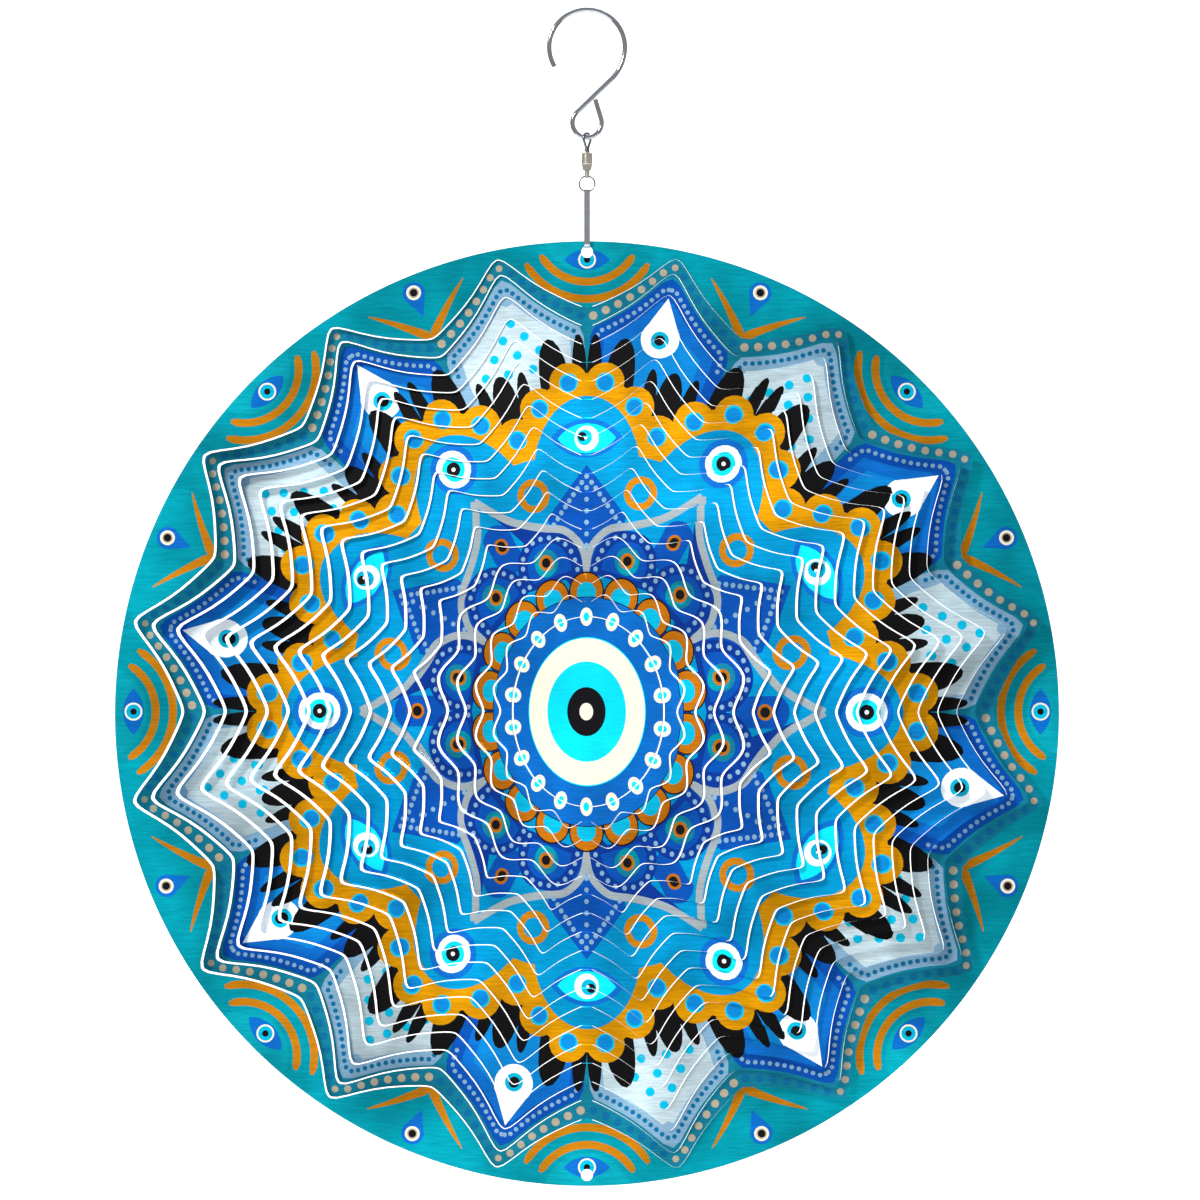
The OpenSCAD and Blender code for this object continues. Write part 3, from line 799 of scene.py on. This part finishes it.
def plate_tree() -> bpy.types.NodeTree:
    """Returns a tree that gives a flat print its thickness, turns it and lifts it into place."""
    tree, given = new_tree("Plate from flat print", {
        "Thickness": "NodeSocketFloat", "Turn": "NodeSocketRotation", "Centre": "NodeSocketVector",
        "Print": "NodeSocketMaterial", "Cut edge": "NodeSocketMaterial"})
    flat, thickness = given.outputs["Geometry"], given.outputs["Thickness"]
    printed = add_node(tree, "GeometryNodeSetMaterial", {
        "Geometry": flat, "Material": given.outputs["Print"]})
    thick = add_node(tree, "GeometryNodeExtrudeMesh", {
        "Mesh": printed.outputs[0], "Offset Scale": thickness, "Individual": False}, mode="FACES")
    walled = add_node(tree, "GeometryNodeSetMaterial", {
        "Geometry": thick.outputs["Mesh"], "Selection": thick.outputs["Side"],
        "Material": given.outputs["Cut edge"]})
    back = add_node(tree, "GeometryNodeFlipFaces", {"Mesh": printed.outputs[0]})
    both = add_node(tree, "GeometryNodeJoinGeometry")
    tree.links.new(walled.outputs[0], both.inputs[0])
    tree.links.new(back.outputs[0], both.inputs[0])
    closed = add_node(tree, "GeometryNodeMergeByDistance", {
        "Geometry": both.outputs[0], "Distance": 1e-6})
    place = add_node(tree, "GeometryNodeInputPosition")
    in_mm = add_node(tree, "ShaderNodeVectorMath", {0: place.outputs[0], "Scale": 1 / MM},
                     operation="SCALE")
    kept = add_node(tree, "GeometryNodeStoreNamedAttribute", {
        "Geometry": closed.outputs[0], "Name": "sheet", "Value": in_mm.outputs[0]},
        data_type="FLOAT_VECTOR", domain="POINT")
    turned = add_node(tree, "GeometryNodeTransform", {
        "Geometry": kept.outputs[0], "Rotation": given.outputs["Turn"],
        "Translation": given.outputs["Centre"]})
    whole = add_node(tree, "GeometryNodeRealizeInstances", {0: turned.outputs[0]})
    add_node(tree, "NodeGroupOutput", {0: whole.outputs[0]})
    return tree


def wire_tree() -> bpy.types.NodeTree:
    """Returns a tree that sweeps a round wire along a chain of edges."""
    tree, given = new_tree("Wire along path", {
        "Diameter": "NodeSocketFloat", "Sides": "NodeSocketInt", "Finish": "NodeSocketMaterial"})
    path = add_node(tree, "GeometryNodeMeshToCurve", {"Mesh": given.outputs["Geometry"]})
    taper = add_node(tree, "GeometryNodeInputNamedAttribute", {"Name": "taper"}, data_type="FLOAT")
    sized = add_node(tree, "GeometryNodeSetCurveRadius", {
        "Curve": path.outputs[0], "Radius": taper.outputs[0]})
    half = add_node(tree, "ShaderNodeMath", {0: given.outputs["Diameter"], 1: 0.5},
                    operation="MULTIPLY")
    section = add_node(tree, "GeometryNodeCurvePrimitiveCircle", {
        "Resolution": given.outputs["Sides"], "Radius": half.outputs[0]})
    swept = add_node(tree, "GeometryNodeCurveToMesh", {
        "Curve": sized.outputs[0], "Profile Curve": section.outputs[0], "Fill Caps": True})
    soft = add_node(tree, "GeometryNodeSetShadeSmooth", {0: swept.outputs[0]})
    whole = add_node(tree, "GeometryNodeRealizeInstances", {0: soft.outputs[0]})
    dressed = add_node(tree, "GeometryNodeSetMaterial", {
        "Geometry": whole.outputs[0], "Material": given.outputs["Finish"]})
    add_node(tree, "NodeGroupOutput", {0: dressed.outputs[0]})
    return tree


def grow(name: str, base: bpy.types.Mesh, tree: bpy.types.NodeTree,
         values: dict[str, Any]) -> bpy.types.Object:
    """Runs a geometry tree on a mesh and keeps the result as a plain mesh.

    Args:
        name: Name of the piece.
        base: The mesh that the tree starts from.
        tree: The geometry tree.
        values: Input name to value.

    Returns:
        The finished object, with no modifier left on it.
    """
    piece = show(name, base)
    modifier = piece.modifiers.new("shape", "NODES")
    modifier.node_group = tree
    sockets = {s.name: s.identifier for s in tree.interface.items_tree
               if s.item_type == "SOCKET" and s.in_out == "INPUT"}
    for label, value in values.items():
        modifier[sockets[label]] = value
    piece.update_tag()
    bpy.context.view_layer.update()
    graph = bpy.context.evaluated_depsgraph_get()
    made = bpy.data.meshes.new_from_object(piece.evaluated_get(graph), depsgraph=graph)
    piece.modifiers.remove(modifier)
    piece.data = made
    made.name = name
    bpy.data.meshes.remove(base)
    return piece


# ---- Sub-assemblies ----

@dataclass
class Disc:
    """The printed disc: a rim, seventeen star rings and the centre piece, joined by tabs."""
    cuts: SheetCuts
    sheet_t: float = 0.7
    fan: float = 38.0
    centre_z: float = -227.254

    def node_name(self, k: int) -> str:
        """Returns the CAD node of ring k, with 0 the rim and the last the centre piece."""
        return ("rim_plate" if k == 0 else "centre_disc" if k == self.cuts.count
                else f"ring_{k:02d}")

    def body_name(self, k: int) -> str:
        """Returns the body that ring k rides on."""
        return "rim" if k == 0 else "centre" if k == self.cuts.count else f"ring_{k:02d}"

    def turn(self, k: int) -> float:
        """Returns the angle of ring k about the vertical axis, in radians."""
        return math.radians(-self.fan * k / self.cuts.count)

    def flat_mesh(self, name: str, sheet: FlatSheet, piece: FlatPiece) -> bpy.types.Mesh:
        """Returns a ring's print as a flat mesh, half a thickness behind the middle plane."""
        used = sorted({i for c in piece.corners for i in c})
        place = {i: n for n, i in enumerate(used)}
        mesh = bpy.data.meshes.new(name + "_flat")
        mesh.from_pydata([(sheet.points[i].x * MM, self.sheet_t / 2 * MM, sheet.points[i].y * MM)
                          for i in used], [], [[place[i] for i in c] for c in piece.corners])
        ink_corners(mesh, [one for one in piece.inks for _ in range(3)])
        return mesh

    def tab(self, k: int, up: int, picture: EyePrint, print_skin: bpy.types.Material,
            edge_skin: bpy.types.Material) -> bpy.types.Object:
        """Makes the twisted strip that joins ring k to the one outside it.

        Args:
            k: The cut that the strip crosses.
            up: 1 for the strip at the top, -1 for the one at the bottom.
            picture: The print, for the strip's ink.
            print_skin: Material of its two faces.
            edge_skin: Material of its cut sides.
        """
        steps, w, t = 4, self.cuts.tab_w / 2, self.sheet_t / 2
        points, faces = [], []
        middle, reach = self.cuts.tab_z(k) * up, self.cuts.kerf * self.cuts.slot_end
        for i in range(steps + 1):
            z = middle + up * reach * (1 - 2 * i / steps)
            turn = mix(self.turn(k - 1), self.turn(k), i / steps)
            for x, y in ((-w, -t), (w, -t), (w, t), (-w, t)):
                points.append((Matrix.Rotation(turn, 3, "Z") @ Vector((x, y, 0))
                               + Vector((0, 0, self.centre_z + z))) * MM)
        for i in range(steps):
            a, b = 4 * i, 4 * (i + 1)
            for j in range(4):
                quad = [a + j, a + (j + 1) % 4, b + (j + 1) % 4, b + j]
                faces.append(quad[::-1] if up > 0 else quad)
        caps = ([3, 2, 1, 0], [4 * steps + j for j in range(4)])
        faces += [c[::-1] if up > 0 else c for c in caps]
        name = f"tab_{k:02d}_{'top' if up > 0 else 'bottom'}"
        mesh = bpy.data.meshes.new(name)
        mesh.from_pydata(points, [], faces)
        for skin in (print_skin, edge_skin):
            mesh.materials.append(skin)
        for i, face in enumerate(mesh.polygons):
            face.material_index = 1 if i >= 4 * steps or i % 2 else 0
        ink_corners(mesh, [picture.ink_at(0, middle)] * len(mesh.loops))
        mesh.attributes.new("sheet", "FLOAT_VECTOR", "POINT").data.foreach_set(
            "vector", [v for p in points for v in (p.x / MM, 0, p.z / MM - self.centre_z)])
        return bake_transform(show(name, mesh))

    def build(self, print_skin: bpy.types.Material, edge_skin: bpy.types.Material) -> None:
        """Makes every ring and tab of the disc.

        Args:
            print_skin: Material of the printed faces.
            edge_skin: Material of the cut edges.
        """
        picture = EyePrint(self.cuts).draw()
        log.info("print: %d outlines", len(picture.layers))
        sheet = FlatSheet(self.cuts, picture).cut()
        log.info("sheet: %d points", len(sheet.points))
        tree = plate_tree()
        for k, piece in enumerate(sheet.rings):
            name = self.node_name(k)
            plate = grow("printed_" + name, self.flat_mesh(name, sheet, piece), tree, {
                "Thickness": self.sheet_t * MM, "Turn": (0.0, 0.0, self.turn(k)),
                "Centre": (0.0, 0.0, self.centre_z * MM),
                "Print": print_skin, "Cut edge": edge_skin})
            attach(plate, self.body_name(k))
            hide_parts(name)
            log.info("%s: %d faces", plate.name, len(plate.data.polygons))
        for k in range(1, self.cuts.count + 1):
            for up in (1, -1):
                self.tab(k, up, picture, print_skin, edge_skin)
        log.info("tabs: %d", 2 * self.cuts.count)


@dataclass
class Hanger:
    """Hook, swivel, small ring and spring clip, in millimetres, as the CAD model has them."""
    hook_wire: float = 1.55
    hook_r: float = 12.3
    side_r: float = 14.6
    reach: float = 30.0
    loop_r: float = 4.75
    drop: float = 24.7
    tail_dir: float = 107.0
    eye_wire: float = 0.8
    eye_r: float = 1.749
    eye_z: float = -41.394
    eye_yaw: float = 40.0
    barrel_top: float = -46.094
    leg_rise: float = 1.6
    clip_w: float = 1.9
    clip_t: float = 0.5
    clip_bend: float = 1.5
    clip_top: float = -58.189
    clip_len: float = 18.6
    tip: float = 0.3             # length of the rounded end of a wire
    tail_gap: float = 0.05       # room between the hook's tail and its shank
    clip_edge: float = 0.09      # rounding of the strip's edges

    @staticmethod
    def on_circle(c: Point, r: float, a: float) -> Point:
        """Returns the point at angle a, in degrees, on a circle in the XZ plane."""
        return c[0] + r * math.cos(math.radians(a)), c[1] + r * math.sin(math.radians(a))

    def arc(self, c: Point, r: float, start: float, end: float, step: float = 3.0) -> Outline:
        """Returns points along an arc in the XZ plane."""
        n = max(2, math.ceil(abs(end - start) / step))
        return [self.on_circle(c, r, mix(start, end, i / n)) for i in range(n + 1)]

    def hook_path(self) -> Outline:
        """Returns the middle line of the hook's wire, from the tail to the open end."""
        arc_c = (0.0, self.hook_wire / 2 - self.hook_r)
        side_c = (self.hook_r - self.side_r, arc_c[1])
        loop_c = (0.0, arc_c[1] - self.drop)
        v = Vector(loop_c) - Vector(side_c)
        shank = math.degrees(math.atan2(v.y, v.x)
                             - math.asin((self.side_r + self.loop_r) / v.length))
        shank_from = Vector(self.on_circle(side_c, self.side_r, shank + 90))
        tail_from = Vector(self.on_circle(loop_c, self.loop_r, self.tail_dir - 90))
        turn = math.radians(self.tail_dir - shank - 180)
        across = Vector(self.on_circle((0, 0), 1, shank + 90))
        gap = -(shank_from - tail_from).dot(across)
        length = (gap - self.hook_wire / 2 * (1 + math.cos(turn)) - self.tail_gap) / math.sin(turn)
        along = Vector(self.on_circle((0, 0), 1, self.tail_dir))
        tail_to = tail_from + along * length
        path = [tuple(tail_to), tuple(tail_to - along * self.tip)]
        path += self.arc(loop_c, self.loop_r, self.tail_dir + 270, shank + 270)
        path += self.arc(side_c, self.side_r, shank + 90, 0)
        path += self.arc(arc_c, self.hook_r, 3, 180 + self.reach)
        end, before = Vector(path[-1]), Vector(self.on_circle((0, 0), 1, 270 + self.reach))
        return path + [tuple(end + before * self.tip)]

    def wire_mesh(self, name: str, chains: list[list[Vector]], nip: float) -> bpy.types.Mesh:
        """Returns chains of edges for the wire tree, with each chain's ends narrowed to nip."""
        mesh = bpy.data.meshes.new(name + "_path")
        points, edges, taper = [], [], []
        for chain in chains:
            start = len(points)
            points += [p * MM for p in chain]
            edges += [(start + i, start + i + 1) for i in range(len(chain) - 1)]
            taper += [nip] + [1.0] * (len(chain) - 2) + [nip]
        mesh.from_pydata(points, edges, [])
        mesh.attributes.new("taper", "FLOAT", "POINT").data.foreach_set("value", taper)
        return mesh

    def hook(self, tree: bpy.types.NodeTree, finish: bpy.types.Material) -> None:
        """Makes the hook of one bent wire."""
        chain = [Vector((x, 0, z)) for x, z in self.hook_path()]
        piece = grow("wire_hook", self.wire_mesh("hook", [chain], 0.75), tree,
                     {"Diameter": self.hook_wire * MM, "Sides": 24, "Finish": finish})
        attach(piece, "hook")
        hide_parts("hook")
        log.info("hook: %d faces", len(piece.data.polygons))

    def eye(self, tree: bpy.types.NodeTree, finish: bpy.types.Material) -> None:
        """Makes the swivel's wire eye, with its ends wound round the stem."""
        leg = Vector((self.eye_wire / 2 + 0.02, self.barrel_top + self.leg_rise))
        v = leg - Vector((0, self.eye_z))
        lean = math.degrees(math.atan2(v.y, v.x) + math.acos(self.eye_r / v.length))
        loop = [tuple(leg)] + self.arc((0, self.eye_z), self.eye_r, lean, 180 - lean, 6.0)
        loop.append((-leg.x, leg.y))
        yaw = Matrix.Rotation(math.radians(90 - self.eye_yaw), 3, "Z")
        chains = [[yaw @ Vector((x, 0, z)) for x, z in loop]]
        base = grow("swivel_eye_loop", self.wire_mesh("eye", chains, 1.0), tree,
                    {"Diameter": self.eye_wire * MM, "Sides": 18, "Finish": finish})
        stem_r, wrap = 0.75 * self.eye_wire, 0.55 * self.eye_wire
        turn_steps = 18.85       # steps of a third of a radian in one turn of the winding
        coil = [Vector((stem_r * math.cos(i / 3), stem_r * math.sin(i / 3),
                        leg.y - wrap * (0.35 + i / turn_steps))) for i in range(52)]
        stem = [Vector((0, 0, leg.y + 0.15)), Vector((0, 0, leg.y)),
                Vector((0, 0, self.barrel_top - 1.1)), Vector((0, 0, self.barrel_top - 1.14))]
        wound = grow("swivel_eye_coil", self.wire_mesh("coil", [coil], 0.6), tree,
                     {"Diameter": wrap * MM, "Sides": 12, "Finish": finish})
        post = grow("swivel_eye_stem", self.wire_mesh("stem", [stem], 0.8), tree,
                    {"Diameter": 2 * stem_r * MM, "Sides": 24, "Finish": finish})
        for piece in (base, wound, post):
            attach(piece, "swivel")
        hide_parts("swivel_eye")
        log.info("swivel eye: 3 pieces")

    def clip(self, finish: bpy.types.Material) -> None:
        """Makes the spring clip, a strip with rounded edges bent into a long loop."""
        mid = self.clip_bend + self.clip_t / 2
        top, bottom = self.clip_top - self.clip_bend, self.clip_top - self.clip_len + self.clip_bend
        lap = mix(bottom, top, 0.45)
        out = mid + self.clip_t + 0.05
        path: Outline = [(mid, lap + 0.62), (mid, lap + 0.7), (mid, top)]
        path += self.arc((0, top), mid, 12, 168, 12) + [(-mid, top), (-mid, bottom)]
        path += self.arc((0, bottom), mid, 192, 348, 12) + [(mid, bottom)]
        path += smooth([(mid, lap - 0.9), (mid + 0.04, lap - 0.5), (out - 0.04, lap + 0.1),
                        (out, lap + 0.5)], 4) + [(out, lap + 2.9), (out, lap + 3.2)]
        w, t, e = self.clip_w / 2, self.clip_t / 2, self.clip_edge
        section = [(-w + e, -t), (w - e, -t), (w, -t + e), (w, t - e),
                   (w - e, t), (-w + e, t), (-w, t - e), (-w, -t + e)]
        points, faces, n = [], [], len(section)
        for i, p in enumerate(path):
            along = heading(path, i).normalized()
            for x, d in section:
                points.append(Vector((x, p[0] - along.y * d, p[1] + along.x * d)) * MM)
        for i in range(len(path) - 1):
            faces += [[i * n + j, i * n + (j + 1) % n, (i + 1) * n + (j + 1) % n, (i + 1) * n + j]
                      for j in range(n)]
        faces += [list(range(n))[::-1], [(len(path) - 1) * n + j for j in range(n)]]
        mesh = bpy.data.meshes.new("spring_clip")
        mesh.from_pydata(points, [], faces)
        mesh.materials.append(finish)
        piece = show("spring_clip", mesh)
        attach(piece, "clip")
        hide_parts("snap_clip")
        log.info("clip: %d faces", len(mesh.polygons))

    def dress(self, node: str, finish: bpy.types.Material) -> None:
        """Gives a CAD node a finer material."""
        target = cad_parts[node]
        for slot in target.material_slots:
            slot.link = "OBJECT"
            slot.material = finish
        log.info("%s: %s", node, finish.name)

    def build(self) -> None:
        """Makes and dresses everything above the disc."""
        tree = wire_tree()
        plain = PLAIN_WIRE.build()
        nickel = NICKEL.build()
        self.hook(tree, BRIGHT_WIRE.build())
        self.eye(tree, plain)
        self.clip(SPRING_STRIP.build())
        self.dress("link_ring", plain)
        self.dress("swivel_barrel", nickel)
        self.dress("swivel_shaft", nickel)
        self.dress("swivel_cap", PALE_BRASS.build())
        self.dress("swivel_balls", BEARING.build())


@dataclass
class Studio:
    """White paper sweep, soft lights and the camera, in metres."""
    distance: float = 0.99
    eye_height: float = -0.218
    aim: tuple[float, float, float] = (0.0042, 0.0, -0.1912)
    field_deg: float = 22.16
    floor_z: float = -0.62
    paper_half: float = 0.8      # half width of the paper, and how far it comes forward
    bend_r: float = 0.8          # radius of the paper's bend from floor to wall
    bend_y: float = 1.6          # where the bend starts
    room_light: float = 0.5

    def backdrop(self) -> None:
        """Lays a narrow paper sweep under and behind the object. Beside it the room is grey,
        which the wires mirror along their edges."""
        half, r = self.paper_half, self.bend_r
        profile = [(-half, self.floor_z)] + [
            (self.bend_y + r * math.sin(a), self.floor_z + r * (1 - math.cos(a)))
            for a in (math.pi / 2 * i / 16 for i in range(17))] + [(self.bend_y + r, 3.0)]
        points = [(x, y, z) for y, z in profile for x in (-half, half)]
        mesh = bpy.data.meshes.new("paper_sweep")
        mesh.from_pydata(points, [], [[2 * i, 2 * i + 1, 2 * i + 3, 2 * i + 2]
                                      for i in range(len(profile) - 1)])
        mesh.polygons.foreach_set("use_smooth", [True] * len(mesh.polygons))
        mesh.materials.append(BackdropPaper().build())
        show("paper_sweep", mesh)

    def lamp(self, name: str, place: Point, height: float, size: float, power: float) -> None:
        """Hangs a square soft light, aimed at the middle of the disc."""
        data = bpy.data.lights.new(name, "AREA")
        data.shape, data.size, data.energy = "SQUARE", size, power
        lamp = show(name, data)
        lamp.location = (*place, height)
        aim = Vector((0, 0, -0.22)) - Vector(lamp.location)
        lamp.rotation_euler = aim.to_track_quat("-Z", "Y").to_euler()

    def build(self) -> None:
        """Makes the light and the camera."""
        world = bpy.data.worlds.new("studio")
        world.use_nodes = True
        sky = world.node_tree.nodes["Background"]
        sky.inputs["Color"].default_value = (1.0, 1.0, 1.0, 1.0)
        sky.inputs["Strength"].default_value = self.room_light
        bpy.context.scene.world = world
        bpy.context.scene.view_settings.view_transform = "Standard"
        self.backdrop()
        self.lamp("key", (-1.0, -1.3), 0.75, 0.3, 32.0)
        self.lamp("wash", (0.0, 1.0), 1.6, 1.6, 30.0)
        data = bpy.data.cameras.new("camera")
        data.sensor_width = 36.0
        data.lens = 18.0 / math.tan(math.radians(self.field_deg / 2))
        data.clip_start = 0.05
        camera = show("camera", data)
        camera.location = (self.aim[0], -self.distance, self.eye_height)
        look = Vector(self.aim) - Vector(camera.location)
        camera.rotation_euler = look.to_track_quat("-Z", "Y").to_euler()
        bpy.context.scene.camera = camera
        log.info("studio ready")


def main() -> None:
    """Builds the disc, the hanger and the studio."""
    logging.basicConfig(level=logging.INFO, format="%(name)s: %(message)s")
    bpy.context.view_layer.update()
    Disc(SheetCuts()).build(PrintedSheet().build(), CUT_EDGE.build())
    Hanger().build()
    Studio().build()


if __name__ == "__main__":
    main()
